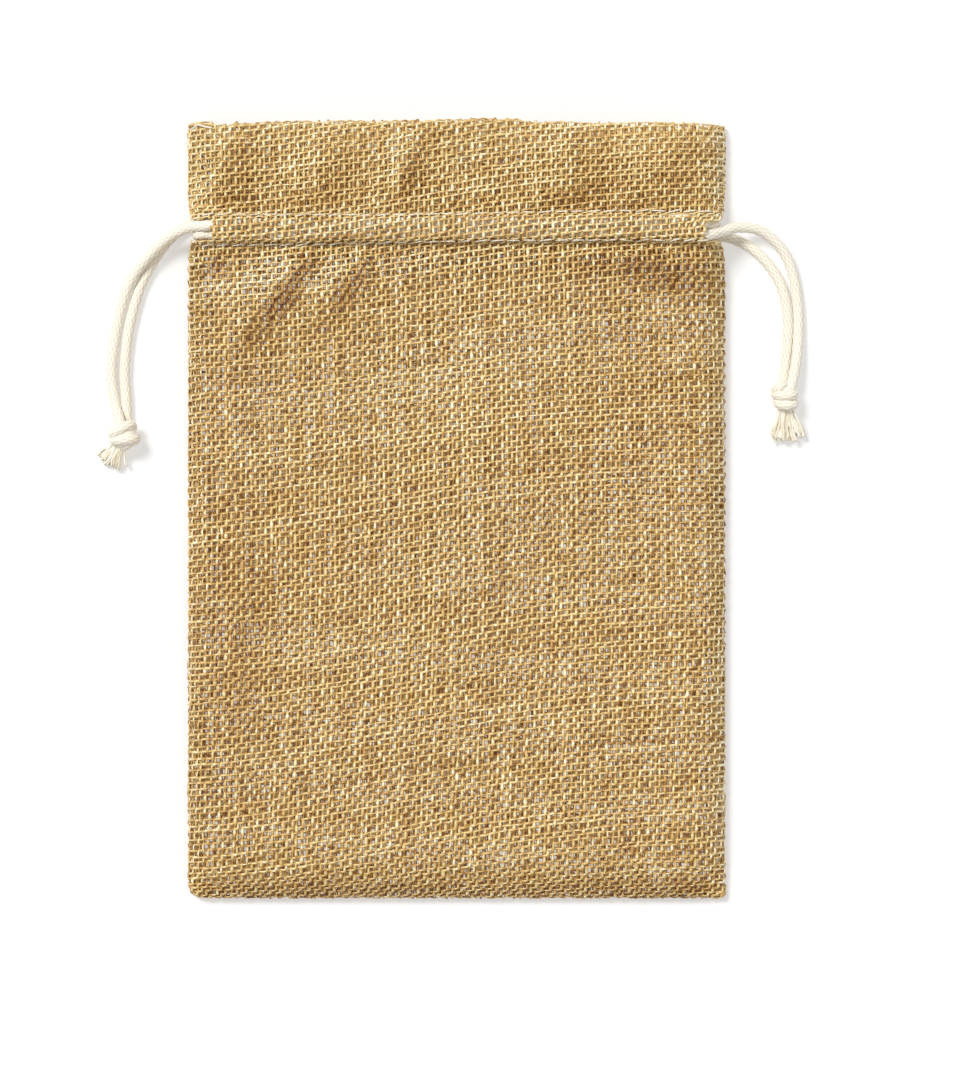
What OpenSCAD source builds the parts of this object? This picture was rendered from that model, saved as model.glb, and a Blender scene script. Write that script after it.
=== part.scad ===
// Drawstring gift pouch, lying flat on its back panel.
// Millimetres, +Z up, +Y towards the mouth, +X to the right.
// The origin is under the middle of the cloth, on the surface that it lies on.

/* [Pouch] */
// Width of the finished pouch, side seam to side seam
pouch_w = 100; // [80:1:130]
// Height of the finished pouch, bottom seam to top fold
pouch_h = 144.5; // [115:0.5:180]
// Thickness of the woven cloth
cloth_t = 0.5; // [0.4:0.05:0.7]
// Clear height between the two panels at the mouth
mouth_gap = 4.6; // [4.4:0.1:8]
// Width of the seam allowances turned inside
allowance_w = 6; // [4:0.5:9]

/* [Drawstring channel] */
// Height of the frill, from the upper stitch row to the top fold
frill_h = 17; // [12:0.5:24]
// Length of hem cloth below the lower stitch row
hem_below = 2.5; // [1.5:0.5:6]
// Depth of the open slot in each side seam
slot_depth = 4; // [3:0.5:6]
// Distance that the side walls of the front panel slope over
slope_w = 14; // [12:0.5:20]

/* [Drawstrings] */
// Diameter of the braided cotton drawstrings
cord_d = 2; // [1.6:0.1:2.4]
// Clearance between the two drawstrings, and between each and the cloth
cord_clear = 0.25; // [0.2:0.05:0.4]
// Thickness of an overhand knot
knot_d = 5.6; // [5:0.2:6.6]
// Length of an overhand knot along its cord
knot_l = 6.2; // [5.6:0.2:7]

/* [Stitching] */
// Length of one stitch and the gap after it
stitch_pitch = 3; // [2.5:0.1:3.6]
// Gap between two stitches
stitch_gap = 0.4; // [0.3:0.1:0.8]
// Width of the sewing thread
thread_w = 0.28; // [0.2:0.02:0.4]
// Distance of the seam threads from the edge of the cloth
seam_inset = 1.5; // [1:0.1:2]

/* [Hidden] */
$fn = 24;

// Edges of the cloth
half_w = pouch_w / 2;
top_y = pouch_h / 2;
bottom_y = -pouch_h / 2;
slot_x = half_w - slot_depth;

// Channel: the two drawstrings side by side between the stitch rows
lane = (cord_d + cord_clear) / 2;
tunnel_half = lane + cord_d / 2 + cord_clear / 2;
tunnel_h = cord_d + 0.8 * cord_clear;
wall_t = 0.6 * cloth_t;
ridge_half = tunnel_half + wall_t;
row_off = ridge_half + thread_w / 2;
channel_y = top_y - frill_h - row_off;
hem_y = channel_y - row_off - hem_below;

// Levels of the cloth layers at the middle of the pouch
back_tunnel_z = cloth_t;
front_hem_z = 2 * cloth_t + tunnel_h + mouth_gap;
front_under_z = front_hem_z + cloth_t;
front_top_z = front_under_z + cloth_t;
front_drop = front_hem_z - 2 * cloth_t;

// Stitch rows run from the middle towards both slots; the front panel starts to slope
// at the end of a whole stitch, so that no stitch lies across the fold line
row_n = floor((slot_x - stitch_gap) / stitch_pitch);
slope_n = floor((half_w - slope_w) / stitch_pitch);
slope_x = slope_n * stitch_pitch;
slot_drop = 0.35 * front_drop;
row_tilt = atan(slot_drop / (slot_x - slope_x));

// Rise of the front panel from the bottom seam: distance in, share of the height
bottom_rise = [[0, 0], [4, 0.45], [10, 0.86], [16, 1]];

// How far the front panel lies below its middle level at a distance x from the middle
function drop(x) =
    lookup(abs(x), [[0, 0], [slope_x, 0], [slot_x, slot_drop], [half_w, front_drop],
                    [2 * half_w, front_drop]]);

// Sweeps a cross-section along X over the given stations. Each row of the cross-section is
// [y, upper z, lower z, least upper z, least lower z]. At each station both levels sink by
// the drop of the front panel, but not below their least values.
module swept(rows, stations) {
    m = len(rows);
    n = len(stations);
    upper = [for (x = stations) for (r = rows) [x, r[0], max(r[3], r[1] - drop(x))]];
    lower = [for (x = stations) for (r = rows) [x, r[0], max(r[4], r[2] - drop(x))]];
    under = n * m;
    skins = [
        for (i = [0 : n - 2]) for (j = [0 : m - 2])
            let (a = i * m + j, c = a + m)
            each [[a, a + 1, c], [a + 1, c + 1, c],
                  [under + a, under + c, under + a + 1],
                  [under + a + 1, under + c, under + c + 1]]
    ];
    ends = [
        for (j = [0 : m - 2])
            let (a = j, c = (n - 1) * m + j)
            each [[a, under + a, a + 1], [a + 1, under + a, under + a + 1],
                  [c, c + 1, under + c], [c + 1, under + c + 1, under + c]]
    ];
    edges = [
        for (i = [0 : n - 2])
            let (a = i * m, c = a + m, e = a + m - 1, g = e + m)
            each [[a, c, under + a], [c, under + c, under + a],
                  [e, under + e, g], [g, under + e, under + g]]
    ];
    polyhedron(concat(upper, lower), concat(skins, ends, edges), convexity = 6);
}

// The open slot in a side seam, cut through every layer of a panel
module slots() {
    for (side = [-1, 1])
        translate([side * (slot_x + slot_depth), channel_y, front_top_z])
            cube([2 * slot_depth, 2 * ridge_half, 4 * front_top_z], center = true);
}

// Half of the tunnel's cross-section over a cloth level, from its side to its crown:
// distance from the channel's middle and height
tunnel_arch = [[tunnel_half, 0.65 * tunnel_h], [0.68 * tunnel_half, tunnel_h]];

// Outside of the cloth over the tunnel, from its foot to its crown
ridge_arch = [
    [ridge_half, cloth_t], [ridge_half - wall_t / 4, 0.68 * tunnel_h + wall_t],
    [0.72 * tunnel_half, tunnel_h + cloth_t]
];

// Points of an arch on level z, from low y to high y
function arched(arch, z) = concat(
    [for (p = arch) [channel_y - p[0], z + p[1]]],
    [for (i = [len(arch) - 1 : -1 : 0]) [channel_y + arch[i][0], z + arch[i][1]]]
);

// Front panel: one layer of cloth from the bottom seam to the top fold, and its hem
// folded down inside. Its edges come down to the side and bottom seams.
module front_panel() {
    least_top = 4 * cloth_t;
    least_under = 3 * cloth_t;
    least_hem = 2 * cloth_t;
    body = [for (r = bottom_rise)
        [bottom_y + r[0],
         least_top + (front_top_z - least_top) * r[1],
         least_under + (front_under_z - least_under) * r[1], least_top, least_under]];
    hem_end = [
        [hem_y, front_top_z, front_under_z, least_top, least_under],
        [hem_y + cloth_t / 4, front_top_z, front_hem_z, least_top, least_hem]
    ];
    over_cords = [for (p = arched(ridge_arch, front_under_z))
        [p[0], p[1], front_hem_z, least_top, least_hem]];
    fold = [[top_y, front_top_z, front_hem_z, least_top, least_hem]];
    hollow = [for (p = arched(tunnel_arch, front_under_z))
        [p[0], p[1], front_under_z, least_top, least_under]];
    past = slot_x + slot_depth / 4;
    color("burlywood") {
        difference() {
            swept(concat(body, hem_end, over_cords, fold),
                  [-half_w, -slot_x, -slope_x, slope_x, slot_x, half_w]);
            swept(hollow, [-past, -slot_x, -slope_x, slope_x, slot_x, past]);
            slots();
        }
        seam_allowance(least_hem, least_top - least_hem - cloth_t / 4);
    }
}

// Seam allowance of one panel, turned inside along both sides and the bottom: a flat strip
// at level z with its fold, of height fold_h, along the edge of the cloth
module seam_allowance(z, fold_h) {
    side_h = hem_y - bottom_y;
    for (side = [-1, 1]) {
        translate([side > 0 ? half_w - allowance_w : -half_w, bottom_y, z])
            cube([allowance_w, side_h, cloth_t]);
        translate([side > 0 ? half_w - cloth_t : -half_w, bottom_y, z])
            cube([cloth_t, side_h, fold_h]);
    }
    translate([-half_w, bottom_y, z]) cube([pouch_w, allowance_w, cloth_t]);
    translate([-half_w, bottom_y, z]) cube([pouch_w, cloth_t, fold_h]);
}

// Back panel: flat on the surface, with its hem folded up inside over the drawstrings
module back_panel() {
    color("burlywood") {
        difference() {
            rotate([90, 0, 90])
                linear_extrude(pouch_w, center = true)
                    difference() {
                        polygon(concat(
                            [[top_y, 2 * cloth_t], [top_y, 0], [bottom_y, 0],
                             [bottom_y, cloth_t], [hem_y, cloth_t], [hem_y, 2 * cloth_t]],
                            arched(ridge_arch, back_tunnel_z)
                        ));
                        polygon(concat(
                            [[channel_y + tunnel_half, back_tunnel_z],
                             [channel_y - tunnel_half, back_tunnel_z]],
                            arched(tunnel_arch, back_tunnel_z)
                        ));
                    }
            slots();
        }
        seam_allowance(cloth_t, cloth_t);
    }
}

// One stitch of thread along X, centred, with its flat side on z = 0
module stitch(length) {
    rotate([90, 0, 90])
        linear_extrude(length, center = true)
            intersection() {
                circle(d = thread_w);
                translate([-thread_w, 0]) square([2 * thread_w, thread_w]);
            }
}

// Sets out the stitches of a seam along Y between two heights, on level z
module along_seam(side, y0, y1, z) {
    n = floor((y1 - y0) / stitch_pitch);
    color("ivory")
        for (i = [0 : n - 1])
            translate([side * (half_w - seam_inset), y0 + (i + 0.5) * stitch_pitch, z])
                rotate([0, 0, 90]) children();
}

// Side seam, on the allowance of the front panel
module side_seam(side) {
    along_seam(side, bottom_y + allowance_w / 2, hem_y, 3 * cloth_t)
        stitch(stitch_pitch - stitch_gap);
}

// The side seam goes on above the slot. There each stitch is a whole loop of thread, which
// holds the hem of the front panel down to the hem of the back panel.
module mouth_seam(side) {
    length = stitch_pitch - stitch_gap;
    loop_h = front_hem_z - drop(half_w - seam_inset + thread_w / 2) - 2 * cloth_t;
    along_seam(side, channel_y + row_off + thread_w, top_y - 1, 2 * cloth_t)
        translate([0, thread_w / 2, 0])
            rotate([90, 0, 0])
                linear_extrude(thread_w)
                    difference() {
                        translate([-length / 2, 0]) square([length, loop_h]);
                        translate([thread_w - length / 2, thread_w])
                            square([length - 2 * thread_w, loop_h - 2 * thread_w]);
                    }
}

module bottom_seam() {
    n = floor((half_w - allowance_w) / stitch_pitch);
    color("ivory")
        for (i = [-n : n - 1])
            translate([(i + 0.5) * stitch_pitch, bottom_y + seam_inset, 3 * cloth_t])
                stitch(stitch_pitch - stitch_gap);
}

// A stitch row of the channel on the front panel, which follows its slope to the slots
module front_row(y) {
    color("ivory")
        for (side = [-1, 1]) for (i = [0 : row_n - 1])
            let (x = (i + 0.5) * stitch_pitch)
            translate([side * x, y, front_top_z - drop(x)])
                rotate([0, side * (i < slope_n ? 0 : row_tilt), 0])
                    stitch(stitch_pitch - stitch_gap);
}

module back_row(y) {
    color("ivory")
        for (side = [-1, 1]) for (i = [0 : row_n - 1])
            translate([side * (i + 0.5) * stitch_pitch, y, 2 * cloth_t])
                stitch(stitch_pitch - stitch_gap);
}

// Free ends of the drawstrings, from the slot to the knot: distance out from the slot,
// distance up from the channel's middle, and height of the cord's middle
left_front_end = [
    [4, 0.8, 5.2], [8, -1.4, 3.8], [12, -5.4, 2.9], [15.2, -10.4, 1.9], [17.2, -17, 1.1],
    [18.3, -23.5, 1], [18.5, -27.5, 1], [17.8, -32.5, 1.2], [17, -35.2, 2.6], [16.4, -37.4, 3.3]
];
left_back_end = [
    [4, 0.7, 1.2], [7.6, -1.9, 1], [10.6, -6, 1], [13, -10.5, 1], [14.5, -15.5, 1],
    [15.5, -20.5, 1], [16, -26.9, 1], [15.7, -31.8, 1], [15.6, -35.4, 1], [15.7, -37.4, 1.3]
];
right_front_end = [
    [4, -0.9, 5.4], [7.5, -0.2, 4], [11, -0.8, 2.9], [14.3, -3.5, 2], [16.7, -7, 1.3],
    [18, -11, 1], [18.5, -15.4, 1], [18.3, -20, 1.2], [17.8, -24.4, 2.2], [17, -28, 2.8],
    [16.2, -30, 3.2]
];
right_back_end = [
    [4, -1.4, 1.1], [8, -2.9, 1], [11, -5.2, 1], [13.6, -8.6, 1], [15.2, -12.4, 1],
    [16.1, -16.8, 1], [16.2, -21.2, 1], [16, -25.4, 1], [15.5, -28, 1], [15, -30, 1.3]
];

// Middle of a drawstring in the front and in the back channel
front_cord_z = front_under_z + tunnel_h / 2;
back_cord_z = back_tunnel_z + tunnel_h / 2;

// Route of one whole drawstring: in from its knot through the front channel, round the
// bend at the far slot, back through the back channel and out to its knot again.
// side is the slot that its ends leave by, -1 or 1, and up is its lane in the channel.
function route(side, up, front_end, back_end) =
    let (y = channel_y + up * lane,
         slot_z = front_cord_z - slot_drop,
         mid_z = (slot_z + back_cord_z) / 2,
         bend_r = (slot_z - back_cord_z) / 2)
    concat(
        [for (i = [len(front_end) - 1 : -1 : 0]) let (p = front_end[i])
            [side * (slot_x + p[0]), channel_y + p[1], p[2]]],
        [[side * slot_x, y, slot_z], [side * slope_x, y, front_cord_z],
         [-side * slope_x, y, front_cord_z], [-side * slot_x, y, slot_z]],
        [for (a = [45, 90, 135])
            [-side * (slot_x + 0.95 * bend_r * sin(a)), y, mid_z + bend_r * cos(a)]],
        [[-side * slot_x, y, back_cord_z], [side * slot_x, y, back_cord_z]],
        [for (p = back_end) [side * (slot_x + p[0]), channel_y + p[1], p[2]]]
    );

function unit(v) = v / norm(v);
function square_to(v, way) = unit(v - (v * way) * way);

// Way that a route runs at point i: the mean of the stretches that meet there
function way(points, i) =
    let (a = max(i, 1), b = min(i, len(points) - 2))
    unit(unit(points[a] - points[a - 1]) + unit(points[b + 1] - points[b]));

// Sweeps a tube with the given number of sides along a route. Each ring's first direction
// is the last ring's, turned the least that keeps it square to the route.
module tube(points, d, sides) {
    n = len(points);
    ways = [for (i = [0 : n - 1]) way(points, i)];
    firsts = [for (i = 0, v = square_to([0, 0, 1], ways[0]); i < n;
                   i = i + 1, v = i < n ? square_to(v, ways[i]) : v) v];
    rings = [
        for (i = [0 : n - 1]) for (k = [0 : sides - 1])
            let (a = 360 * (k + 0.5) / sides, u = firsts[i], w = cross(ways[i], u))
            points[i] + d / 2 * (cos(a) * u + sin(a) * w)
    ];
    walls = [
        for (i = [0 : n - 2]) for (k = [0 : sides - 1])
            let (a = i * sides + k, b = i * sides + (k + 1) % sides)
            each [[a, b, a + sides], [b, b + sides, a + sides]]
    ];
    last = (n - 1) * sides;
    ends = [[for (k = [sides - 1 : -1 : 0]) k], [for (k = [0 : sides - 1]) last + k]];
    polyhedron(rings, concat(walls, ends), convexity = 8);
}

module left_drawstring() {
    color("whitesmoke") tube(route(-1, 1, left_front_end, left_back_end), cord_d, 8);
}

module right_drawstring() {
    color("whitesmoke") tube(route(1, -1, right_front_end, right_back_end), cord_d, 8);
}

// Middles of the knots, counted like the free ends
left_knot_at = [16, -38.7];
right_knot_at = [15.3, -31.3];

// Overhand knot: an egg shape made of short cones, its length along Y before it is turned
module knot(side, at, turn) {
    translate([side * (slot_x + at[0]), channel_y + at[1], knot_d / 2])
        rotate([90, 0, turn])
            color("whitesmoke")
                rotate_extrude($fn = 48)
                    polygon([for (a = [-90 : 15 : 90]) [knot_d * cos(a), knot_l * sin(a)] / 2]);
}

// Frayed end of a drawstring: a flat fan of loose fibres that spreads out from its knot
module tassel(side, at, turn, length, spread) {
    reach = 2 * length;
    translate([side * (slot_x + at[0]), channel_y + at[1], 0])
        rotate([0, 0, turn])
            color("whitesmoke")
                linear_extrude(0.8 * cord_d)
                    intersection() {
                        circle(length, $fn = 64);
                        polygon([[0, 0], reach * [cos(spread / 2), -sin(spread / 2)],
                                 reach * [cos(spread / 2), sin(spread / 2)]]);
                    }
}

front_panel();
back_panel();
side_seam(-1);  // left_side_seam
side_seam(1);  // right_side_seam
bottom_seam();
mouth_seam(-1);  // left_mouth_seam
mouth_seam(1);  // right_mouth_seam
front_row(channel_y + row_off);  // front_upper_stitching
front_row(channel_y - row_off);  // front_lower_stitching
back_row(channel_y + row_off);  // back_upper_stitching
back_row(channel_y - row_off);  // back_lower_stitching
left_drawstring();
right_drawstring();
knot(-1, left_knot_at, -20);  // left_knot
knot(1, right_knot_at, 5);  // right_knot
tassel(-1, left_knot_at, 245, 6.5, 56);  // left_tassel
tassel(1, right_knot_at, 274, 8, 50);  // right_tassel
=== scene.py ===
import math

import bpy
import numpy as np
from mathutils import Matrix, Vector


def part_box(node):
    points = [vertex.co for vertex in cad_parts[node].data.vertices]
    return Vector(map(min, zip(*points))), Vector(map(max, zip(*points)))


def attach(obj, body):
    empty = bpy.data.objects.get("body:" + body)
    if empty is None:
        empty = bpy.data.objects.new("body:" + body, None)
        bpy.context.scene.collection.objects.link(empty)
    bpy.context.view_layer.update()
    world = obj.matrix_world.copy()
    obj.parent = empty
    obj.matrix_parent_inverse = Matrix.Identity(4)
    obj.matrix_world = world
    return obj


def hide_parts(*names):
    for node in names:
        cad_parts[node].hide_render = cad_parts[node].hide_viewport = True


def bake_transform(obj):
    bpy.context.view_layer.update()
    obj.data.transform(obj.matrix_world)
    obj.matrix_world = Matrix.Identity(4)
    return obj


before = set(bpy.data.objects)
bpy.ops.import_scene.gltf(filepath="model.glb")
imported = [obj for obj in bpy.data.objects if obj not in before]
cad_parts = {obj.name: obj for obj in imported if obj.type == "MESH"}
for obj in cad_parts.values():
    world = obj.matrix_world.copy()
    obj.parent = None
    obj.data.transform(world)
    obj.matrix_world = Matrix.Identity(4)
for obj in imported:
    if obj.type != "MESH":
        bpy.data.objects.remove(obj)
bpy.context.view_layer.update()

# Work is in millimetres, in the frame's own axes, and turned to metres as each mesh is made.
MM = 0.001


# ---------------------------------------------------------------- camera
# A long lens looks straight down on the pouch as it lies on its back panel. The view is a
# little wider than the pouch with both knots, and the pouch lies left of its middle.

VIEW_MIDDLE = (3.8, -5.5)
VIEW_HEIGHT = 201.9
CAMERA_HEIGHT = 1200
SENSOR_HEIGHT = 24

camera = bpy.data.objects.new("camera", bpy.data.cameras.new("camera"))
camera.data.sensor_fit = "VERTICAL"
camera.data.sensor_height = SENSOR_HEIGHT
camera.data.lens = SENSOR_HEIGHT * CAMERA_HEIGHT / VIEW_HEIGHT
camera.data.clip_start = 0.01
camera.location = (VIEW_MIDDLE[0] * MM, VIEW_MIDDLE[1] * MM, CAMERA_HEIGHT * MM)
bpy.context.scene.collection.objects.link(camera)
bpy.context.scene.camera = camera
bpy.context.scene.view_settings.view_transform = "Standard"


# ---------------------------------------------------------------- drawstrings
# Two 2 mm cords of soft white cotton, plaited round a cotton core. Each runs in a loop
# through the front and back channel, and its two ends leave the pouch by the same slot and
# are tied together in an overhand knot, with the last few millimetres frayed out.

front_low, front_high = (np.array(c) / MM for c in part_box("front_panel"))
half_w = front_high[0]
top_y = front_high[1]
bottom_y = front_low[1]

CORD_D = 2.0
PLAIT_STRANDS = 16
PLAIT_PITCH = 7.5
PLAIT_RELIEF = 0.05
SLOT_X = half_w - 4
CHANNEL_Y = top_y - 19.69

# In the channel the two drawstrings lie side by side, LANE above and below its middle. The
# front and back runs have their own heights. Each free end joins its loop at JOIN_X, and near
# NEAR_SLOT_X the front one starts to sink to SLOT_Z, where it leaves.
LANE = 1.06
FRONT_RUN_Z = 9.4
BACK_RUN_Z = 1.68
SLOT_Z = 9.2
JOIN_X = 34
NEAR_SLOT_X = 41


def channel_line(x):
    """Height of the channel's middle on the pouch: it runs a little uphill to the right."""
    return CHANNEL_Y - 0.1 + 0.008 * x


def linear(code):
    """An sRGB hex colour as linear red, green, blue and alpha."""
    part = np.array([int(code[i : i + 2], 16) for i in (1, 3, 5)]) / 255
    low = part <= 0.04045
    return (*np.where(low, part / 12.92, ((part + 0.055) / 1.055) ** 2.4), 1.0)


def add(tree, kind, settings=None, links=None):
    """Adds a node to a material, sets its sockets or properties, and links its inputs."""
    made = tree.nodes.new(kind)
    for key, value in (settings or {}).items():
        if isinstance(key, str) and key not in made.inputs:
            setattr(made, key, value)
        else:
            made.inputs[key].default_value = value
    for key, source in (links or {}).items():
        tree.links.new(source, made.inputs[key])
    return made


def new_material(name):
    """An empty node material: returns it, its tree and its output node."""
    material = bpy.data.materials.new(name)
    material.use_nodes = True
    material.node_tree.nodes.clear()
    return material, material.node_tree, add(material.node_tree, "ShaderNodeOutputMaterial")


def ramp(tree, factor, stops):
    """A colour ramp from (position, hex colour) stops, driven by factor."""
    made = add(tree, "ShaderNodeValToRGB", links={"Fac": factor})
    elements = made.color_ramp.elements
    elements[0].position, elements[1].position = stops[0][0], stops[-1][0]
    elements[0].color, elements[1].color = linear(stops[0][1]), linear(stops[-1][1])
    for position, code in stops[1:-1]:
        elements.new(position).color = linear(code)
    return made.outputs["Color"]


def cotton_cord_material():
    """Plaited cotton: matt off-white, with painted shade that makes it a little warmer and darker
    down between the strands.
    """
    material, tree, out = new_material("plaited_cotton")
    relief = add(tree, "ShaderNodeAttribute", {"attribute_name": "relief"})
    where = add(tree, "ShaderNodeTexCoord")
    fibre = add(tree, "ShaderNodeTexNoise", {"Scale": 4200.0, "Detail": 4.0, "Roughness": 0.7},
                {"Vector": where.outputs["Object"]})
    # The relief paints shade: the cord is coloured darker and warmer down between the strands.
    mixed = add(tree, "ShaderNodeMath", {"operation": "MULTIPLY_ADD", 1: 0.35},
                {0: fibre.outputs["Fac"], 2: relief.outputs["Fac"]})
    colour = ramp(tree, mixed.outputs[0],
                  [(0.1, "#d8c9ab"), (0.45, "#ebe2ce"), (0.8, "#f4eee0"), (1.0, "#fbf7ee")])
    bump = add(tree, "ShaderNodeBump", {"Strength": 0.5, "Distance": 0.00006},
               {"Height": fibre.outputs["Fac"]})
    skin = add(tree, "ShaderNodeBsdfPrincipled",
               {"Roughness": 0.85, "Sheen Weight": 0.25, "Sheen Roughness": 0.5,
                "Specular IOR Level": 0.25},
               {"Base Color": colour, "Normal": bump.outputs["Normal"]})
    tree.links.new(skin.outputs["BSDF"], out.inputs["Surface"])
    return material


cotton = cotton_cord_material()


def make_mesh(name, points, quads, material, smooth=True, **attributes):
    """A mesh object from points in mm, an array of quads, and one value per point for each
    named attribute. Points that no quad uses are left out."""
    used, quads = np.unique(quads.reshape(-1), return_inverse=True)
    points = np.asarray(points, float).reshape(-1, 3)[used] * MM
    quads = quads.reshape(-1, 4)
    mesh = bpy.data.meshes.new(name)
    mesh.vertices.add(len(points))
    mesh.vertices.foreach_set("co", points.reshape(-1).astype(np.float32))
    mesh.loops.add(quads.size)
    mesh.loops.foreach_set("vertex_index", quads.reshape(-1).astype(np.int32))
    mesh.polygons.add(len(quads))
    mesh.polygons.foreach_set("loop_start", np.arange(0, quads.size, 4, dtype=np.int32))
    mesh.polygons.foreach_set("use_smooth", np.full(len(quads), smooth))
    mesh.update(calc_edges=True)
    mesh.validate()
    for key, values in attributes.items():
        layer = mesh.attributes.new(key, "FLOAT", "POINT")
        layer.data.foreach_set("value", np.asarray(values, np.float32).reshape(-1)[used])
    mesh.materials.append(material)
    piece = bpy.data.objects.new(name, mesh)
    bpy.context.scene.collection.objects.link(piece)
    return piece


def ring_quads(rows, around, kept=None):
    """Quads of tubes whose points come as [tube, row, place round the ring]. kept says, for
    each tube and each stretch between rows, whether it is there. Each kept run is closed at
    both ends, so around is even and its caps are strips of quads."""
    tubes, count = rows
    if kept is None:
        kept = np.ones((tubes, count - 1), bool)
    index = np.arange(tubes * count * around).reshape(tubes, count, around)
    turned = np.roll(index, -1, axis=2)
    walls = np.stack([index[:, :-1], turned[:, :-1], turned[:, 1:], index[:, 1:]], axis=-1)
    gap = np.zeros((tubes, 1), bool)
    starts = kept & ~np.concatenate([gap, kept[:, :-1]], axis=1)
    stops = kept & ~np.concatenate([kept[:, 1:], gap], axis=1)
    fan = np.array([[k, k + 1, around - k - 2, around - k - 1] for k in range(around // 2 - 1)])
    low = index[:, :-1][starts][:, fan][..., ::-1]
    high = index[:, 1:][stops][:, fan]
    return np.concatenate([walls[kept].reshape(-1, 4), low.reshape(-1, 4), high.reshape(-1, 4)])


def smooth_path(points, step):
    """A curve through the points (a Catmull-Rom spline), sampled at even steps along it."""
    p = np.asarray(points, float)
    p = np.concatenate([[2 * p[0] - p[1]], p, [2 * p[-1] - p[-2]]])
    t = np.linspace(0, 1, 24, endpoint=False)[:, None]
    a, b, c, d = (p[i : len(p) - 3 + i, None] for i in range(4))
    curve = 0.5 * (2 * b + (c - a) * t + (2 * a - 5 * b + 4 * c - d) * t**2
                   + (3 * b - a - 3 * c + d) * t**3)
    curve = np.concatenate([curve.reshape(-1, 3), p[-2:-1]])
    along = np.concatenate([[0], np.cumsum(np.linalg.norm(np.diff(curve, axis=0), axis=1))])
    even = np.linspace(0, along[-1], max(int(round(along[-1] / step)), 2) + 1)
    return np.stack([np.interp(even, along, curve[:, k]) for k in range(3)], axis=1), even


def unit(vectors):
    """Vectors scaled to length 1."""
    return vectors / np.maximum(np.linalg.norm(vectors, axis=-1, keepdims=True), 1e-9)


def square_to(path, above):
    """Unit directions square to a path of [..., row, xyz]: sideways, and up towards above."""
    way = unit(np.gradient(path, axis=-2))
    side = unit(np.cross(way, above))
    return side, np.cross(side, way)


def plaited_tube(path, even, around=48, phase=0.0):
    """Rings round a path, in the plane square to it. The radius swells and sinks as two sets
    of strands cross over one another, right-handed ones and left-handed ones, each set half
    of PLAIT_STRANDS. Returns the points as [row, place, xyz] and the relief, 0 low to 1 high."""
    side, up = square_to(path, [0, 0, 1.0])
    angle = np.linspace(0, 2 * np.pi, around, endpoint=False)[None, :]
    turn = 2 * np.pi * even[:, None] / PLAIT_PITCH + phase
    sets = PLAIT_STRANDS / 2
    right, left = np.cos(sets * (angle + turn / 2)), np.cos(sets * (angle - turn / 2))
    across = np.cos(sets * angle) * np.cos(sets * turn / 2)
    relief = 0.5 + 0.5 * np.where(across > 0, right, left)
    radius = CORD_D / 2 * (1 - PLAIT_RELIEF + 2 * PLAIT_RELIEF * (relief - 0.4))
    ring = np.cos(angle)[..., None] * side[:, None] + np.sin(angle)[..., None] * up[:, None]
    return path[:, None] + radius[..., None] * ring, relief


def cord_piece(name, points, step=0.2, around=48):
    """A plaited cord along a route. Returns the piece and its path in metres."""
    path, even = smooth_path(points, step)
    rings, relief = plaited_tube(path, even, around)
    quads = ring_quads((1, len(path)), around)
    return make_mesh(name, rings, quads, cotton, relief=relief), path * MM


# Each free end's side of the pouch, its lane in the channel, how far up the slot it leaves,
# and its route: out from the slot, up from the channel's middle, and the height of the cord's
# middle.
FREE_ENDS = {
    "left_front_end": (-1, 1, 0.3, [
        (4, 0.0, 6.4), (8, -1.9, 4.1), (12, -5.7, 2.9), (15.2, -10.4, 1.9), (17.2, -17, 1.1),
        (18.3, -23.5, 1), (18.5, -27.5, 1), (17.8, -32.5, 1.2), (17, -35.2, 2.6),
        (16.4, -37.4, 3.3)]),
    "left_back_end": (-1, 1, 0.5, [
        (4, 0.7, 1.2), (7.6, -1.9, 1), (10.6, -6, 1), (13, -10.5, 1), (14.5, -15.5, 1),
        (15.5, -20.5, 1), (16, -26.9, 1), (15.7, -31.8, 1), (15.6, -35.4, 1),
        (15.7, -37.4, 1.3)]),
    "right_front_end": (1, -1, -1.5, [
        (3.4, -0.7, 6.8), (6.4, 0.1, 4.9), (10.4, -0.3, 3.1), (14, -2.9, 2), (16.2, -6.6, 1.3),
        (17.3, -11, 1), (17.8, -15.4, 1), (17.8, -20, 1.3), (17.4, -24.4, 2.2), (16.8, -28, 2.8),
        (16.2, -30, 3.2)]),
    "right_back_end": (1, -1, -1.6, [
        (4, -1.4, 1.1), (8, -2.9, 1), (11, -5.2, 1), (13.6, -8.6, 1), (15.2, -12.4, 1),
        (15.9, -16.8, 1), (15.8, -21.2, 1), (15.5, -25.4, 1), (15.2, -28, 1), (15, -30, 1.3)]),
}


def beside(side, out, up, z):
    """A place given by its distances out from a slot and up from the channel's middle."""
    return (side * (SLOT_X + out), CHANNEL_Y + up, z)


def in_channel(side, lane, x, z):
    """A place in the channel, x mm out from the pouch's middle towards side."""
    return (side * x, channel_line(side * x) + lane * LANE, z)


free_paths = {}
for name, (side, lane, slot_up, places) in FREE_ENDS.items():
    start_z, slot_z = (FRONT_RUN_Z, SLOT_Z) if "front" in name else (BACK_RUN_Z, BACK_RUN_Z)
    inside = [in_channel(side, lane, x, start_z) for x in (JOIN_X, JOIN_X + 3)]
    inside.append(in_channel(side, lane, NEAR_SLOT_X, start_z + 0.35 * (slot_z - start_z)))
    slot = beside(side, 0, slot_up, slot_z)
    end, path = cord_piece(name, inside + [slot] + [beside(side, *place) for place in places])
    body = "left_drawstring" if side < 0 else "right_drawstring"
    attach(end, body)
    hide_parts(body)
    free_paths[name] = (end, path, np.array(slot) * MM)

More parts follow.
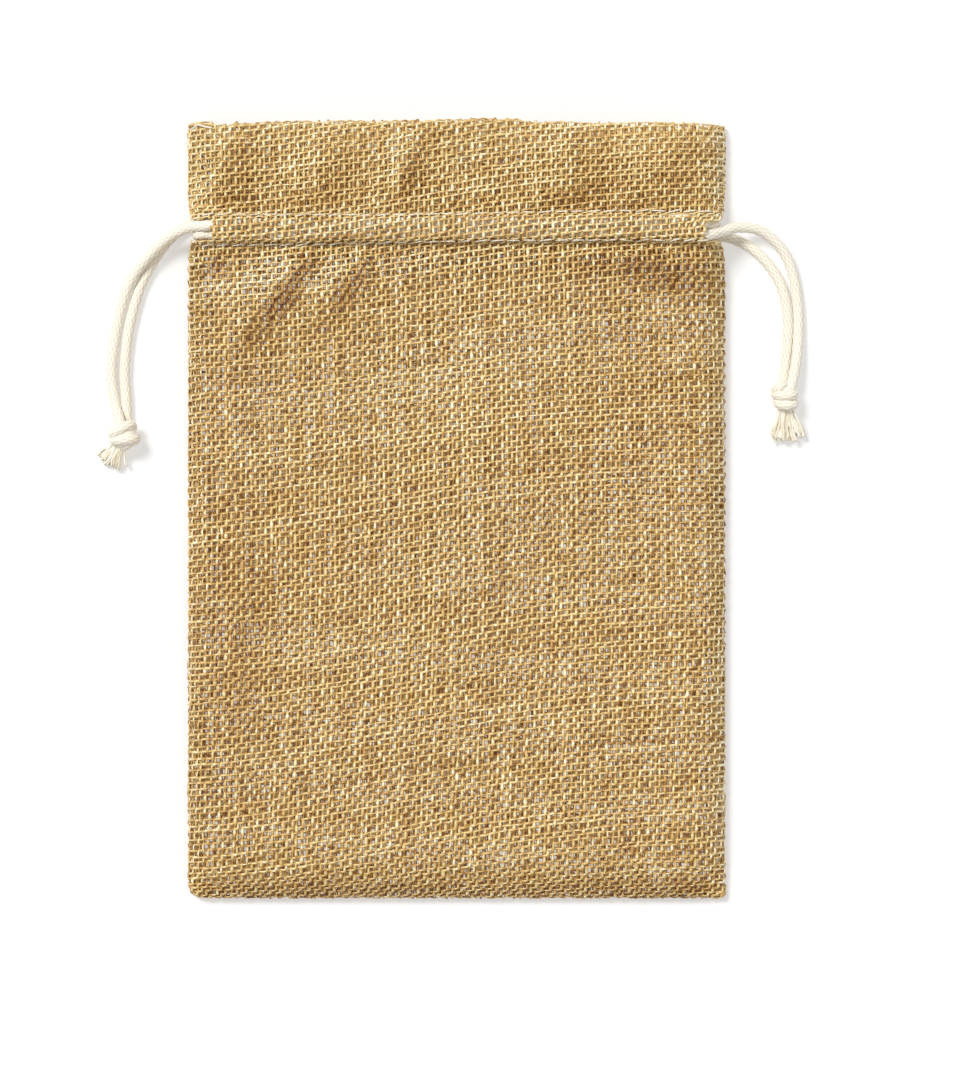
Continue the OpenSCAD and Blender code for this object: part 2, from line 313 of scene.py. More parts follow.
# The loop of each drawstring inside the channel. It bends round from front to back at the far
# slot, BEND_OUT past it, where it lies under the front end that leaves there.
BEND_Z = 7.7
BEND_R = (BEND_Z - BACK_RUN_Z) / 2
BEND_OUT = 3.0
for side, lane, body, bend_up in ((-1, 1, "left_drawstring", 0.5),
                                  (1, -1, "right_drawstring", -1.25)):
    below = in_channel(-side, lane, SLOT_X, BACK_RUN_Z)
    bend = []
    for angle in range(30, 180, 30):
        part = angle / 180
        out = BEND_OUT * math.sin(math.radians(angle)) * (1 - part / 2)
        up = bend_up + (below[1] - CHANNEL_Y - bend_up) * part**2
        bend.append(beside(-side, out, up, BACK_RUN_Z + BEND_R * (1 + math.cos(math.pi * part))))
    front = [in_channel(side, lane, x, FRONT_RUN_Z) for x in (JOIN_X, 12, -12, -36, -40)]
    front.append(in_channel(side, lane, -43, FRONT_RUN_Z - 0.2))
    back = [in_channel(side, lane, x, BACK_RUN_Z) for x in (-36, -12, 12, JOIN_X)]
    route = front + [beside(-side, 0, bend_up, BEND_Z)] + bend + [below] + back
    loop, _ = cord_piece(body + "_loop", route, step=0.3, around=32)
    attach(loop, body)
    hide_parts(body)


# ---------------------------------------------------------------- knots and frayed ends
# The two ends of each drawstring are tied together in one overhand knot. Past the knot the
# plait has come undone into a fan of loose, slightly curly cotton yarns.

def turned(points, degrees):
    """Points turned about the vertical."""
    c, s = math.cos(math.radians(degrees)), math.sin(math.radians(degrees))
    x, y, z = np.moveaxis(np.asarray(points, float), -1, 0)
    return np.stack([c * x - s * y, s * x + c * y, z], axis=-1)


def wrap(heading, middle, radius, bow, high):
    """One turn of cord round the knot: an ellipse that stands upright along heading, radius
    long and high tall on each side of its middle. It is bowed sideways over the top, and
    drifts sideways as it goes round, so its two ends lie beside each other underneath."""
    a = np.radians(np.linspace(-80, 260, 40))
    drift = 0.25 * (a - np.pi / 2)
    ring = np.stack([radius * np.cos(a), bow * np.sin(a) + drift, high * np.sin(a)], axis=1)
    return turned(ring, heading) + np.array(middle)


def knot_piece(name, middle, turns, heart):
    """Turns of cord that fan out over an egg-shaped heart of the same cord."""
    points, quads, reliefs, first = [], [], [], 0
    for k, turn in enumerate(turns):
        path, even = smooth_path(wrap(*turn) + np.array(middle), 0.2)
        rings, relief = plaited_tube(path, even, phase=1.1 * k)
        points.append(rings.reshape(-1, 3))
        reliefs.append(relief.reshape(-1))
        quads.append(ring_quads((1, len(path)), rings.shape[1]) + first)
        first += rings.shape[0] * rings.shape[1]
    a = np.radians(np.linspace(-88, 88, 25))[:, None]
    b = np.radians(np.arange(0, 360, 15))[None, :]
    egg = np.stack([heart[0] * np.cos(a) * np.cos(b), heart[1] * np.sin(a) + 0 * b,
                    -heart[2] * np.cos(a) * np.sin(b)], axis=-1)
    points.append((turned(egg, heart[3]) + np.array(middle)).reshape(-1, 3))
    reliefs.append(np.full(egg.shape[0] * egg.shape[1], 0.5))
    quads.append(ring_quads((1, egg.shape[0]), egg.shape[1]) + first)
    return make_mesh(name, np.concatenate(points), np.concatenate(quads), cotton,
                     relief=np.concatenate(reliefs))


def frayed_material():
    """Loose cotton yarns: bright off-white and soft, with no shine."""
    material, tree, out = new_material("loose_cotton_yarn")
    tone = add(tree, "ShaderNodeAttribute", {"attribute_name": "tone"})
    colour = ramp(tree, tone.outputs["Fac"],
                  [(0.0, "#e6d8b8"), (0.5, "#f4ecd8"), (1.0, "#fdf9ef")])
    skin = add(tree, "ShaderNodeBsdfPrincipled",
               {"Roughness": 0.9, "Sheen Weight": 0.3, "Specular IOR Level": 0.2},
               {"Base Color": colour})
    tree.links.new(skin.outputs["BSDF"], out.inputs["Surface"])
    return material


loose_cotton = frayed_material()


def thin_tubes(path, above, thick, around, squash=1.0):
    """Rings round many thin paths at once, given as [tube, row, xyz]. thick is their radius,
    and squash how high they are for their width."""
    side, up = square_to(path, above)
    ring = np.linspace(0, 2 * np.pi, around, endpoint=False)[:, None]
    return path[:, :, None] + thick * (
        np.cos(ring) * side[:, :, None] + squash * np.sin(ring) * up[:, :, None])


def frayed_piece(name, middle, heading, spread, length, loose, seed):
    """A tuft of yarns from a knot. Each is a tapering six-sided tube that leaves the knot in a
    round bundle, bends outwards to its own place in the fan and sinks to the surface. The
    yarns hang together in wavy locks. The first two stand apart at the place loose, where the
    fan's own edges are -1 and 1."""
    rng = np.random.default_rng(seed)
    count, rows, around, locks = 200, 20, 6, 13
    t = np.linspace(0, 1, rows)[None, :]
    place = np.linspace(-1, 1, count)[:, None]
    lock = np.minimum(((place + 1) / 2 * locks).astype(int), locks - 1)
    place = 0.8 * place + 0.2 * (2 * (lock + 0.5) / locks - 1) + rng.normal(0, 0.05, (count, 1))
    place[:2] = loose
    layer = rng.uniform(0, 1, (count, 1))
    reach = length * (1 - 0.08 * place**2) * rng.uniform(0.86, 1.0, (count, 1))
    reach *= rng.uniform(0.9, 1.03, locks)[lock]
    across = (np.clip(place, -1, 1) * 1.3 * (1 - t)
              + place * reach * math.sin(math.radians(spread / 2)) * t**1.25)
    phase, rate = rng.uniform(0, 6.3, locks)[lock], rng.uniform(4.5, 8, locks)[lock]
    across += 0.2 * np.sin(phase + t * rate) * t**0.5
    across += 0.06 * np.sin(rng.uniform(0, 6.3, (count, 1)) + t * rng.uniform(9, 15, (count, 1)))
    out = 1.6 + (reach - 1.6) * t
    x = out * math.cos(math.radians(heading)) - across * math.sin(math.radians(heading))
    y = out * math.sin(math.radians(heading)) + across * math.cos(math.radians(heading))
    z = 0.35 + layer * (2.9 - 1.5 * t) + 0.4 * (1 - t) ** 2
    z += 0.2 * (1 + np.cos(phase + t * rate)) * t
    path = np.stack([x, y, z], axis=-1) + np.array([middle[0], middle[1], 0])
    thick = rng.uniform(0.17, 0.25, (count, 1)) * (1 - 0.3 * t)
    rings = thin_tubes(path, [0, 0, 1.0], thick[:, :, None, None], around)
    tone = np.broadcast_to(rng.uniform(0.25, 1, (count, 1, 1)), rings.shape[:3])
    return make_mesh(name, rings, ring_quads((count, rows), around), loose_cotton, tone=tone)


# Each knot's side of the pouch and its middle, as for the free ends; each turn's heading,
# middle, radius, bow and height; the heart's half sizes and heading; and each tuft's heading,
# spread, length, place of the two loose yarns and seed
KNOTS = {"left": (-1, 16, -38.7, 3.1), "right": (1, 15.3, -31.3, 2.8)}
TURNS = {
    "left": [(36, (-0.3, 1.1, 0.1), 1.85, 0.3, 1.6), (12, (0.1, -0.55, 0), 1.9, -0.15, 1.6),
             (52, (1.0, -1.0, -0.5), 1.2, -0.2, 1.1)],
    "right": [(10, (-0.1, 0.4, 0.1), 1.6, -0.3, 1.6), (8, (0.05, -1.15, 0), 1.45, -0.5, 1.5),
              (58, (-0.9, 1.5, -0.1), 0.85, 0.3, 1.3)],
}
HEARTS = {"left": (2.3, 2.4, 2.1, -50), "right": (2.0, 2.5, 2.0, 8)}
TUFTS = {"left": (236, 52, 6.7, 1.75, 11), "right": (275, 50, 8.6, -1.1, 12)}

for hand, (side, out, up, mid_z) in KNOTS.items():
    body = f"{hand}_drawstring"
    middle = beside(side, out, up, mid_z)
    knot = knot_piece(f"{hand}_knot_wraps", middle, TURNS[hand], HEARTS[hand])
    fray = frayed_piece(f"{hand}_frayed_end", middle, *TUFTS[hand])
    for piece, node in ((knot, f"{hand}_knot"), (fray, f"{hand}_tassel")):
        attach(piece, body)
        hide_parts(node)
    for layer in ("front", "back"):
        end, path, slot = free_paths[f"{hand}_{layer}_end"]


# ---------------------------------------------------------------- cloth
# Both panels are imitation jute: a loose plain weave of flat, glossy, pale straw yarns, with
# open gaps between them. Each panel is one cloth, which runs up from the bottom seam, over
# the top fold and down inside as a hem, and its side and bottom edges are turned in.

# The weave: warps run up the pouch and wefts across it. CRIMP is how far a yarn's middle rises
# and sinks at each crossing.
WARP_PITCH = 0.916
WEFT_PITCH = 1.12
WARP_W = 0.52
WEFT_W = 0.44
YARN_T = 0.26
CRIMP = {"warp": 0.19, "weft": 0.11}

# The edges: radius of the rolled sides and bottom, half the depth of the top fold, how far the
# sides and bottom are turned in, and where the hem ends
TURN_R = 0.35
TOP_FOLD_R = 0.25
TURNED_IN = 3.0
HEM_END = CHANNEL_Y - 5.2

# The heights: of each panel at its seams, how far the front rises from there and over what
# distance, and how high and half how wide the arch over the cords is. ROW_OFF is the distance
# of the channel's stitch rows from its middle.
SEAM_Z = {"front": 1.86, "back": 0.37}
CLOTH_T = 0.5
FRONT_RISE = 6.7
SIDE_RUN = 14
BOTTOM_RUN = 16
BULGE = 2.4
BULGE_HALF = 2.75
ROW_OFF = 2.68

# How much a yarn's tone changes: from yarn to yarn, slowly along it, over how many rows of
# points that is spread, quickly along it, and between its tops and its dips: painted light on
# the tops and painted shade in the dips under the crossing yarns
TONES = {"warp": (0.03, 0.08, 5, 0.11, 0.33), "weft": (0.075, 0.06, 14, 0.07, 0.19)}


def soft_step(t):
    """0 below 0, 1 above 1, and a smooth rise between them."""
    t = np.clip(t, 0, 1)
    return t * t * (3 - 2 * t)


def gauss(t):
    """A bell of height 1 and half-width 1."""
    return np.exp(-t * t)


def side_height(x, y):
    """How far the front panel has risen from the side seams, 0 to 1: fast at first, then
    level at SIDE_RUN. It rises faster beside the slots, where the cords hold it up."""
    power = 4.4 + 5.6 * gauss((y - CHANNEL_Y) / 4)
    return 1 - (1 - np.clip((half_w - np.abs(x)) / SIDE_RUN, 0, 1)) ** power


def bottom_height(y):
    """The same from the bottom seam, over BOTTOM_RUN."""
    return 1 - (1 - np.clip((y - bottom_y) / BOTTOM_RUN, 0, 1)) ** 3.4


def channel_bulge(x, y):
    """Rise of the cloth over the two cords: a flat-topped arch between the stitch rows. Its
    middle lies a little lower on the pouch near the right slot, as the cords do there."""
    middle = channel_line(x) - 0.45 * soft_step((x - 34) / 8)
    return BULGE * np.clip(1 - np.abs((y - middle) / BULGE_HALF) ** 5, 0, 1)


def fold(x, y, middle, heading, rise, width, length):
    """A straight fold: a ridge through middle, in mm, whose crest runs along heading."""
    c, d = math.cos(math.radians(heading)), math.sin(math.radians(heading))
    dx, dy = x - middle[0], y - middle[1]
    return rise * gauss((d * dx - c * dy) / width) * gauss((c * dx + d * dy) / length)


# The folds, each with its middle, heading, rise, width and length. On the body: two diagonal
# ones that fan down from the channel at the left, a flat one under the channel at the right,
# a short one at the left slot, and slack. On the frill: upright flutes.
BODY_FOLDS = [((-32.4, 42.6), 51, 2.5, 3.2, 11), ((-21.1, 43.6), 52, 1.6, 3.2, 9),
              ((37, 46.6), -18.5, 2.0, 3.4, 10), ((-45.8, 47.5), 40, 1.0, 2, 4),
              ((-46, -24), 90, 1.3, 8, 18), ((10, 8), 70, 0.8, 14, 40)]
FRILL_FOLDS = [((-9.3, 64.8), 73, 1.4, 2.6, 6), ((-43.5, 64), 84, 1.2, 5, 9),
               ((-25.5, 63), 80, 1.1, 4.6, 8), ((21.5, 64), 84, 1.5, 6, 9),
               ((36, 65), 92, 1.2, 6, 8)]
# Broad places where the front is painted darker, as painted shade, written as folds of tone;
# the last one is painted paler, as painted light.
PAINTED_SHADE_PLACES = [((35, 45.5), -8, 0.16, 3, 14), ((-44, -20), 90, 0.07, 9, 16),
               ((18, 63), 84, 0.05, 9, 7), ((2, 28), 40, -0.05, 16, 24)]


def soft_folds(x, y):
    """Shallow folds of the front panel, in mm. They fade out towards the channel and the
    seams."""
    body = soft_step((CHANNEL_Y - 3 - y) / 3) * soft_step((y - bottom_y - 4) / 20)
    frill = soft_step((y - CHANNEL_Y - 3) / 4) * soft_step((half_w - np.abs(x)) / 6)
    return (body * sum(fold(x, y, *each) for each in BODY_FOLDS)
            + frill * sum(fold(x, y, *each) for each in FRILL_FOLDS))


def painted_light_and_shade(panel, x, y):
    """How the front's yarns are painted with light and shade: painted shade down the side of each
    fold that faces the lower right, away from the lamp, in the shaded places and towards the
    bottom seam; painted light on the folds' other side, along the channel and at the side edges."""
    if panel == "back":
        return 0 * x
    # Painted shade and painted light from each fold's slope towards the lamp at the upper left
    painted_fold_light_and_shade = soft_folds(x - 0.5, y + 0.5) - soft_folds(x + 0.5, y - 0.5)
    # Painted light at the side edges, where the rolled cloth turns away from the lamp
    edges = np.where(x > 0, 0.17 * gauss((half_w - x) / 3.2), 0.12 * gauss((half_w + x) / 2.2))
    # Painted shade in the shaded places, and painted light along the channel
    shaded_places_and_channel_light = sum(fold(x, y, *each) for each in PAINTED_SHADE_PLACES)
    shaded_places_and_channel_light = shaded_places_and_channel_light - 0.09 * gauss((y - channel_line(x) - 0.9) / 1.8)
    # The last term is painted shade towards the bottom seam
    return (edges - shaded_places_and_channel_light - np.clip(0.42 * painted_fold_light_and_shade, -0.08, 0.34)
            - 0.11 * soft_step((bottom_y + 6 - y) / 5))


def cloth_length(panel):
    """Places along one panel's cloth, from its turned-in bottom edge to its hem's end: the
    distance v along it, its place y on the pouch, and the layer, 0 outer and 1 hem."""
    outer, hem = 600, 120
    turn = np.linspace(0, np.pi, 9)[1:-1]
    fold_y = top_y - TOP_FOLD_R
    y = np.concatenate([np.linspace(bottom_y, fold_y, outer), fold_y + TOP_FOLD_R * np.sin(turn),
                        np.linspace(fold_y, HEM_END, hem)])
    layer = np.concatenate([np.zeros(outer), (1 - np.cos(turn)) / 2, np.ones(hem)])
    z = height(panel, np.zeros_like(y), y, layer, plain=True)
    v = np.concatenate([[0], np.cumsum(np.hypot(np.diff(y), np.diff(z)))])
    return v, y, layer


def height(panel, x, y, layer, plain=False):
    """Height of the cloth's middle. The front rises from its seams to the level of the mouth
    and bulges over the cords; its hem lies one cloth below. The back is flat, and its hem
    lies one cloth above it and bulges over the cords. plain leaves the soft folds out."""
    if panel == "back":
        return SEAM_Z["back"] + layer * (CLOTH_T + channel_bulge(x, y))
    z = SEAM_Z["front"] + FRONT_RISE * side_height(x, y) * bottom_height(y)
    z = z - CLOTH_T * layer + (1 - layer) * channel_bulge(x, y)
    return z if plain else z + soft_folds(x, y)


def slot_shape(x, y):
    """x, drawn in towards the middle at the slots: puckered at the right one, a little at the
    left."""
    notch = 1.9 * gauss((y - CHANNEL_Y + 0.5) / 1.9) + 0.5 * gauss((y - CHANNEL_Y + 0.5) / 4.5)
    notch = notch * soft_step((x - 38) / 12)
    left = 0.75 * gauss((y - CHANNEL_Y + 0.4) / 3.5) * soft_step((-x - 40) / 10)
    return x - notch + left


def top_wave(panel, x, y):
    """y with the top fold's waves in it. It isn't quite straight, and the back one stands above
    the front left of the middle, and again at the left corner."""
    lift = 0.25 * np.sin(x / 13 + 1.2) + 0.12 * np.sin(x / 5 + 0.4) - 0.2
    if panel == "back":
        lift = lift + 0.95 * soft_step((x + 45) / 4) * soft_step((18 - x) / 8) - 0.15
        corner = (0.3 + 0.2 * (x + 50)) * soft_step((x + 50.5) / 1.5)
        lift = lift + corner * soft_step((-45.2 - x) / 0.4)
    return y + lift * soft_step((y - CHANNEL_Y - 4) / (top_y - CHANNEL_Y - 4))


def cloth_surface(panel, u, v, lengths):
    """Where the cloth's point u across and v along it lies. Past each side and the bottom it
    rolls in round a small radius and runs back between the panels. The bottom corners are
    rounded, and the left one more."""
    v_at, y_at, layer_at = lengths
    side = np.sign(u)
    roll_x = np.clip((np.abs(u) - (half_w - TURN_R)) / TURN_R, 0, None)
    roll_y = np.clip((TURN_R - v) / TURN_R, 0, None)
    y = np.interp(v, v_at, y_at)
    layer = np.interp(v, v_at, layer_at)

    def rolled(roll):
        """Distance still going out, and how far up or down the roll has gone."""
        angle = np.clip(roll, 0, np.pi)
        back = np.clip(roll - np.pi, 0, None) * TURN_R
        return TURN_R * np.sin(angle) - back, TURN_R * (1 - np.cos(angle))

    out_x, in_x = rolled(roll_x)
    out_y, in_y = rolled(roll_y)
    x = np.where(roll_x > 0, side * (half_w - TURN_R + out_x), u)
    y = np.where(roll_y > 0, bottom_y + TURN_R - out_y, y)
    x = slot_shape(x, y)
    z = height(panel, x, y, layer)
    z = z + (-1 if panel == "front" else 1) * np.maximum(in_x, in_y)
    y = top_wave(panel, x, y)
    for corner_side, corner_r in ((-1, 3.2), (1, 1.0)):
        cx, cy = corner_side * (half_w - corner_r), bottom_y + corner_r
        dx, dy = x - cx, y - cy
        far = np.hypot(dx, dy)
        cut = (dx * corner_side > 0) & (dy < 0) & (far > corner_r)
        pull = np.where(cut, corner_r / np.maximum(far, 1e-6), 1)
        x, y = cx + dx * pull, cy + dy * pull
    return np.stack([x, y, z], axis=-1)


def lattice(panel, s, t):
    """Where warp s crosses weft t on the cloth. The wefts climb to the right, in slow waves,
    and the warps lean and wander a little. Neither set is evenly spaced: some yarns lie close
    in pairs. The back panel is the same cloth turned over."""
    if panel == "back":
        u, v = lattice("front", -s, t + 0.5)
        return -u, v
    u = WARP_PITCH * s + 0.05 * np.sin(2.1 * s) + 0.04 * np.sin(3.7 * s + 2)
    climb = 0.118 * u + 0.9 * np.sin(u / 17 + 0.5) + 0.5 * np.sin(u / 29 + t / 31)
    v = WEFT_PITCH * t + climb + 0.25 * np.sin(t / 9 + u / 23)
    v = v + 0.11 * np.sin(2.4 * t) + 0.07 * np.sin(4.1 * t + 1)
    lean = 0.9 * np.sin(v / 46 + 0.4) - 0.028 * np.clip(60 - v, 0, None)
    u = u + lean + 0.09 * np.sin(v / 7 + 1.7 * s)
    return u, v


def wandering(rng, shape, width):
    """Noise that changes slowly along its last axis: a running mean over width samples."""
    raw = rng.normal(0, 1, (*shape[:-1], shape[-1] + width))
    total = np.cumsum(raw, axis=-1)
    return (total[..., width:] - total[..., :-width]) / math.sqrt(width)


def jute_material(name, low, mid, high, tip):
    """Imitation-jute yarn: flat extruded filaments, so glossy along the yarn, in straw and
    gold tones that change from yarn to yarn and along each one."""
    material, tree, out = new_material(name)
    tone = add(tree, "ShaderNodeAttribute", {"attribute_name": "tone"})
    where = add(tree, "ShaderNodeTexCoord")
    streak = add(tree, "ShaderNodeTexNoise", {"Scale": 3400.0, "Detail": 3.0, "Roughness": 0.7},
                 {"Vector": where.outputs["Object"]})
    mixed = add(tree, "ShaderNodeMath", {"operation": "MULTIPLY_ADD", 1: 0.85, 2: -0.425},
                {0: streak.outputs["Fac"]})
    total = add(tree, "ShaderNodeMath", {"operation": "ADD"},
                {0: mixed.outputs[0], 1: tone.outputs["Fac"]})
    colour = ramp(tree, total.outputs[0], [(0.0, low), (0.4, mid), (0.72, high), (0.95, tip)])
    bump = add(tree, "ShaderNodeBump", {"Strength": 0.35, "Distance": 0.00004},
               {"Height": streak.outputs["Fac"]})
    skin = add(tree, "ShaderNodeBsdfPrincipled",
               {"Roughness": 0.36, "Specular IOR Level": 0.55},
               {"Base Color": colour, "Normal": bump.outputs["Normal"]})
    tree.links.new(skin.outputs["BSDF"], out.inputs["Surface"])
    return material


warp_yarn = jute_material("imitation_jute_warp", "#7f4c1e", "#cb9f57", "#ebd08c", "#fff5d2")
weft_yarn = jute_material("imitation_jute_weft", "#835122", "#d1a761", "#f0d696", "#fff7d8")


def yarns(panel, name, kind, lines, crossed, width, material, seed):
    """A set of yarns of one panel, warps or wefts. lines are the yarns' own numbers, and crossed
    the first and last number of the yarns they cross, with two rows of points to a crossing.
    Each yarn is a flat four-sided tube on the cloth's surface that goes over one crossing
    yarn and under the next: its height is a cosine of the crossing number plus its own."""
    rng = np.random.default_rng(seed)
    lengths = PANEL_LENGTHS[panel]
    warp = kind == "warp"
    along = np.arange(crossed[0], crossed[1] + 0.25, 0.5)
    own, far = np.meshgrid(lines, along, indexing="ij")
    s, t = (own, far) if warp else (far, own)
    u, v = lattice(panel, s, t)
    near = 1e-2
    here = cloth_surface(panel, u, v, lengths)
    by_u = cloth_surface(panel, u + near, v, lengths) - cloth_surface(panel, u - near, v, lengths)
    by_v = cloth_surface(panel, u, v + near, lengths) - cloth_surface(panel, u, v - near, lengths)
    up = unit(np.cross(by_u, by_v))
    side, _ = square_to(here, up)
    wave = np.cos(np.pi * (far + own)) * (1 if warp else -1)
    lift = CRIMP[kind] * wave + 0.02 * rng.normal(0, 1, wave.shape)
    slub = 1 + 0.15 * wandering(rng, wave.shape, 6) + 0.1 * rng.normal(0, 1, (len(lines), 1))
    wide = width * np.clip(slub, 0.55, 1.6)
    shift = 0.07 * wandering(rng, wave.shape, 7)
    middle = here + up * lift[..., None] + side * shift[..., None]
    ring = np.array([[-0.5, 0], [0, 0.5], [0.5, 0], [0, -0.5]])
    flat = YARN_T * np.clip(1.05 - 0.3 * (slub - 1), 0.7, 1.3)
    rings = (middle[:, :, None]
             + ring[None, None, :, :1] * wide[:, :, None, None] * side[:, :, None]
             + ring[None, None, :, 1:] * flat[:, :, None, None] * up[:, :, None])
    inside = (np.abs(u) < half_w + TURNED_IN) & (v > -TURNED_IN) & (v < lengths[0][-1])

    # The slits of the two slots, and the hem cut away behind them
    x, y = here[..., 0], here[..., 1]
    slit = (x < -SLOT_X + 0.3) & (np.abs(y - CHANNEL_Y + 0.5) < 1.95)
    slit |= (x > SLOT_X + 0.1) & (np.abs(y - CHANNEL_Y + 0.65) < 1.7)
    layer = np.interp(v, lengths[0], lengths[2])
    slit |= (layer > 0.5) & (np.abs(x) > SLOT_X - 8) & (np.abs(y - channel_line(x)) < 2.4)
    there = inside & ~slit
    kept = there[:, 1:] & there[:, :-1]

    # The hem and the frill are painted a little paler than the body: painted light
    own_tone, slow_tone, slow_width, quick_tone, painted_top_and_dip_shade = TONES[kind]
    # The tops of each yarn are painted paler and its dips under the crossing yarns darker: painted
    # light and painted shade.
    tone = (0.48 + own_tone * rng.normal(0, 1, (len(lines), 1))
            + slow_tone * wandering(rng, wave.shape, slow_width)
            + quick_tone * rng.normal(0, 1, wave.shape) + painted_top_and_dip_shade * wave + 0.10 * layer
            + 0.04 * soft_step((y - CHANNEL_Y - 2) / 3) + painted_light_and_shade(panel, x, y))
    tone = np.broadcast_to(tone[..., None], rings.shape[:3])
    return make_mesh(name, rings, ring_quads(rings.shape[:2], 4, kept), material, tone=tone)


PANEL_LENGTHS = {panel: cloth_length(panel) for panel in ("front", "back")}
LONGEST = max(lengths[0][-1] for lengths in PANEL_LENGTHS.values())
WARPS = int((half_w + TURNED_IN) / WARP_PITCH) + 2
WEFTS = (-12, int(LONGEST / WEFT_PITCH) + 10)

# Each side of the mouth follows the drawstring that is pulled from the other side, so each
# panel is made in two halves that meet at its middle. GATHER runs from the top edge's middle
# to the side seam beside the slot.
GATHER = (39.4, 13.1)
for panel, seed in (("front", 100), ("back", 200)):
    for side, hand in ((-1, "left"), (1, "right")):
        warps = np.arange(0.5, WARPS) * side
        half = (0, WARPS) if side > 0 else (-WARPS, 0)
        pieces = [
            yarns(panel, f"{panel}_{hand}_warp", "warp", warps, WEFTS, WARP_W, warp_yarn,
                  seed + side),
            yarns(panel, f"{panel}_{hand}_weft", "weft", np.arange(*WEFTS), half, WEFT_W,
                  weft_yarn, seed + 10),
        ]
        end = (side * GATHER[0] * MM, (top_y + GATHER[1]) * MM, 0)
        for piece in pieces:
            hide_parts(f"{panel}_panel")
            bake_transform(piece)


# ---------------------------------------------------------------- channel and seam stitching
# White polyester thread, lockstitched 3 mm long. Two rows round the mouth make the channel;
# the seam threads lie inside, on the turned-in edges.

THREAD_D = 0.3
STITCH = 3.0
STITCH_GAP = 0.55

# How far the seams lie in from the edges, and the height of their thread between the panels
SEAM_IN = 1.2
SEAM_THREAD_Z = 1


def thread_material():
    """Spun polyester thread: clean white with a soft shine."""
    material, tree, out = new_material("white_polyester_thread")
    where = add(tree, "ShaderNodeTexCoord")
    ply = add(tree, "ShaderNodeTexWave",
              {"Scale": 900.0, "Distortion": 2.0, "bands_direction": "DIAGONAL"},
              {"Vector": where.outputs["Object"]})
    colour = ramp(tree, ply.outputs["Fac"], [(0.0, "#d9cdb4"), (0.6, "#efe8d8"), (1.0, "#faf6ec")])
    skin = add(tree, "ShaderNodeBsdfPrincipled",
               {"Roughness": 0.5, "Sheen Weight": 0.15, "Specular IOR Level": 0.4},
               {"Base Color": colour})
    tree.links.new(skin.outputs["BSDF"], out.inputs["Surface"])
    return material


thread = thread_material()


def stitch_row(name, places, ups, node, body=None):
    """Stitches as short arched tubes. places are [stitch, row, xyz] along each stitch, and
    ups the surface's way up; the ends dip down between the yarns. They ride body, or stay
    where they are made."""
    rows, around = places.shape[1], 6
    t = np.linspace(-1, 1, rows)[None, :, None]
    places = places + ups * (THREAD_D * (0.75 - 1.5 * np.abs(t) ** 5))
    rings = thin_tubes(places, ups, THREAD_D / 2, around, squash=0.8)
    piece = make_mesh(name, rings, ring_quads(places.shape[:2], around), thread)
    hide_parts(node)
    if body:
        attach(piece, body)
    else:
        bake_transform(piece)


def row_line(upper, x):
    """Height of a stitch row at x: beside the channel, and not quite straight."""
    if upper:
        return channel_line(x) + ROW_OFF + 0.2 * np.sin(x / 13 - 0.6)
    return channel_line(x) - ROW_OFF + 0.2 * np.sin(x / 16 + 0.7)


for panel in ("front", "back"):
    for upper, row in ((True, "upper"), (False, "lower")):
        for side, hand in ((-1, "left"), (1, "right")):
            count = int((half_w - 1) / STITCH)
            middle = (np.arange(count)[:, None] + 0.5) * STITCH
            x = side * middle + np.linspace(-0.5, 0.5, 9)[None, :] * (STITCH - STITCH_GAP)
            slant = np.random.default_rng(count + side).normal(0.1, 0.08, middle.shape)
            y = row_line(upper, x) + slant * (x - side * middle)
            x = slot_shape(x, y)
            layer = np.zeros_like(x) if panel == "front" else np.ones_like(x)
            lift = CRIMP["warp"] + YARN_T / 2
            z = height(panel, x, y, layer) + lift
            slope = (height(panel, x + 0.1, y, layer) - height(panel, x - 0.1, y, layer)) / 0.2
            ups = np.stack([-slope, np.zeros_like(x), np.ones_like(x)], axis=-1)
            ups /= np.linalg.norm(ups, axis=-1, keepdims=True)
            stitch_row(f"{panel}_{row}_{hand}_stitches",
                       np.stack([x, y, z], axis=-1), ups, f"{panel}_{row}_stitching")

up = np.array([0, 0, 1.0])
along = np.linspace(-0.5, 0.5, 9)[None, :] * (STITCH - STITCH_GAP)
for side, hand in ((-1, "left"), (1, "right")):
    for part, y0, y1 in (("side", bottom_y + 3, HEM_END), ("mouth", CHANNEL_Y + 3.2, top_y - 1)):
        y = y0 + (np.arange(int((y1 - y0) / STITCH))[:, None] + 0.5) * STITCH + along
        places = np.stack([0 * y + side * (half_w - SEAM_IN), y, 0 * y + SEAM_THREAD_Z], axis=-1)
        stitch_row(f"{hand}_{part}_seam_thread", places, 0 * places + up, f"{hand}_{part}_seam",
                   body=f"{hand}_mouth" if part == "mouth" else None)

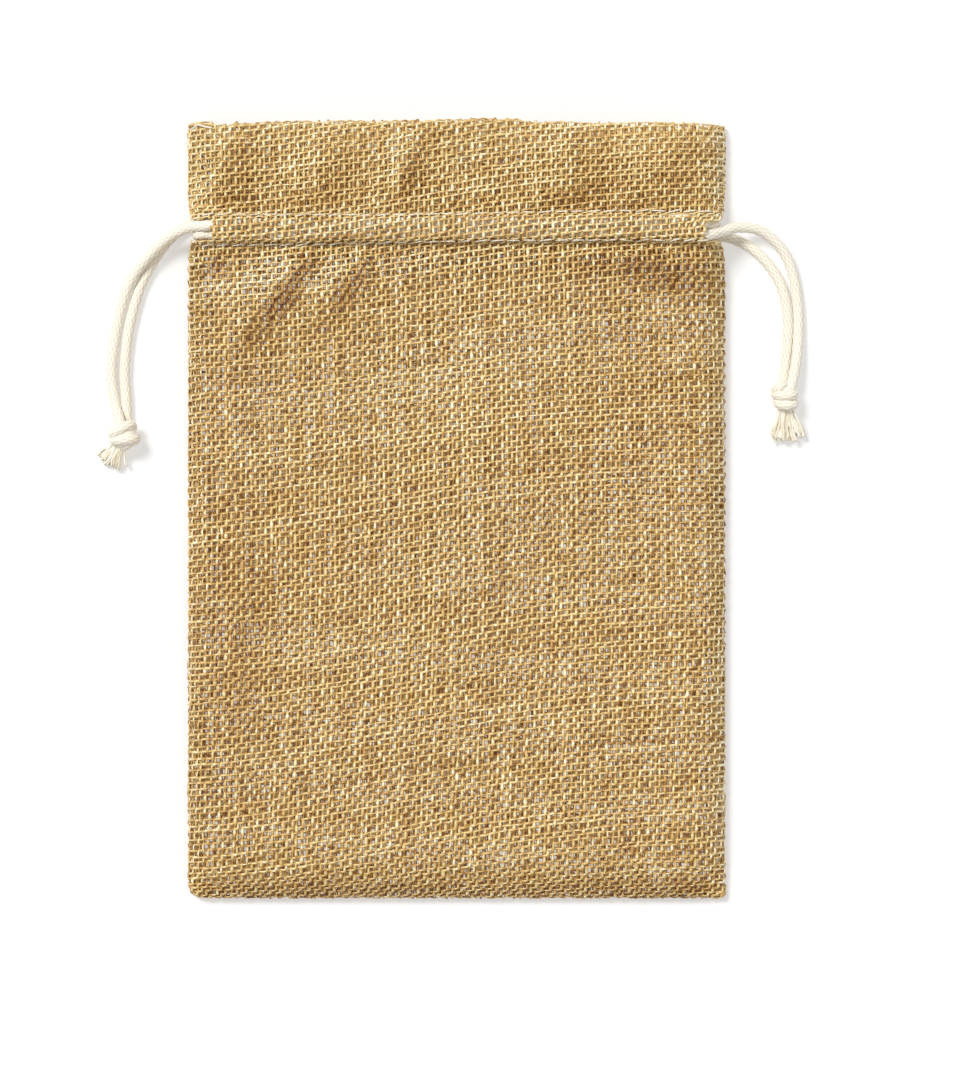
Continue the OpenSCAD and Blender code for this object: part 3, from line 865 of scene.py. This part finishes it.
count = int((half_w - 4) / STITCH)
x = (np.arange(-count, count)[:, None] + 0.5) * STITCH + along
places = np.stack([x, 0 * x + bottom_y + SEAM_IN, 0 * x + SEAM_THREAD_Z], axis=-1)
stitch_row("bottom_seam_thread", places, 0 * places + up, "bottom_seam", body="root")

# The last of the left mouth seam's thread, left loose on the cloth in the top corner
tail, _ = smooth_path([(-49.5, 71, 0), (-48.2, 71.7, 0), (-46.8, 71.3, 0), (-45.4, 71, 0)], 0.25)
tail[:, 2] = height("front", tail[:, 0], tail[:, 1], 0) + CRIMP["warp"] + YARN_T
stitch_row("left_corner_thread", tail[None], 0 * tail[None] + up, "left_mouth_seam",
           body="left_mouth")


# ---------------------------------------------------------------- floor and light
# A plain white table that is lit a little from below. A lamp from the upper left gives the
# short shadow to the lower right, and a broad weak one and an even sky fill the rest.

def floor_material():
    """A lit white table: matt opal white that glows a little from below."""
    material, tree, out = new_material("white_card")
    skin = add(tree, "ShaderNodeBsdfPrincipled",
               {"Base Color": linear("#c4c4c4"), "Roughness": 1.0, "Specular IOR Level": 0.0,
                "Emission Color": linear("#fffdfb"), "Emission Strength": 0.4})
    tree.links.new(skin.outputs["BSDF"], out.inputs["Surface"])
    return material


FLOOR_HALF = 4000
corners = np.array([[-1, -1, 0], [1, -1, 0], [1, 1, 0], [-1, 1, 0]]) * FLOOR_HALF
floor = make_mesh("floor", corners, np.array([[0, 1, 2, 3]]), floor_material(), smooth=False)

world = bpy.data.worlds.new("sky")
world.use_nodes = True
world.node_tree.nodes["Background"].inputs["Color"].default_value = (1, 1, 1, 1)
world.node_tree.nodes["Background"].inputs["Strength"].default_value = 0.42
bpy.context.scene.world = world

# Each lamp's power, how wide it is seen in degrees, and its tilt about X and Y
for name, energy, size, tilt in (("key", 2.6, 20, (-26, -28)), ("fill", 0.55, 60, (10, 42))):
    lamp = bpy.data.objects.new(name, bpy.data.lights.new(name, "SUN"))
    lamp.data.energy = energy
    lamp.data.angle = math.radians(size)
    lamp.rotation_euler = (math.radians(tilt[0]), math.radians(tilt[1]), 0)
    bpy.context.scene.collection.objects.link(lamp)
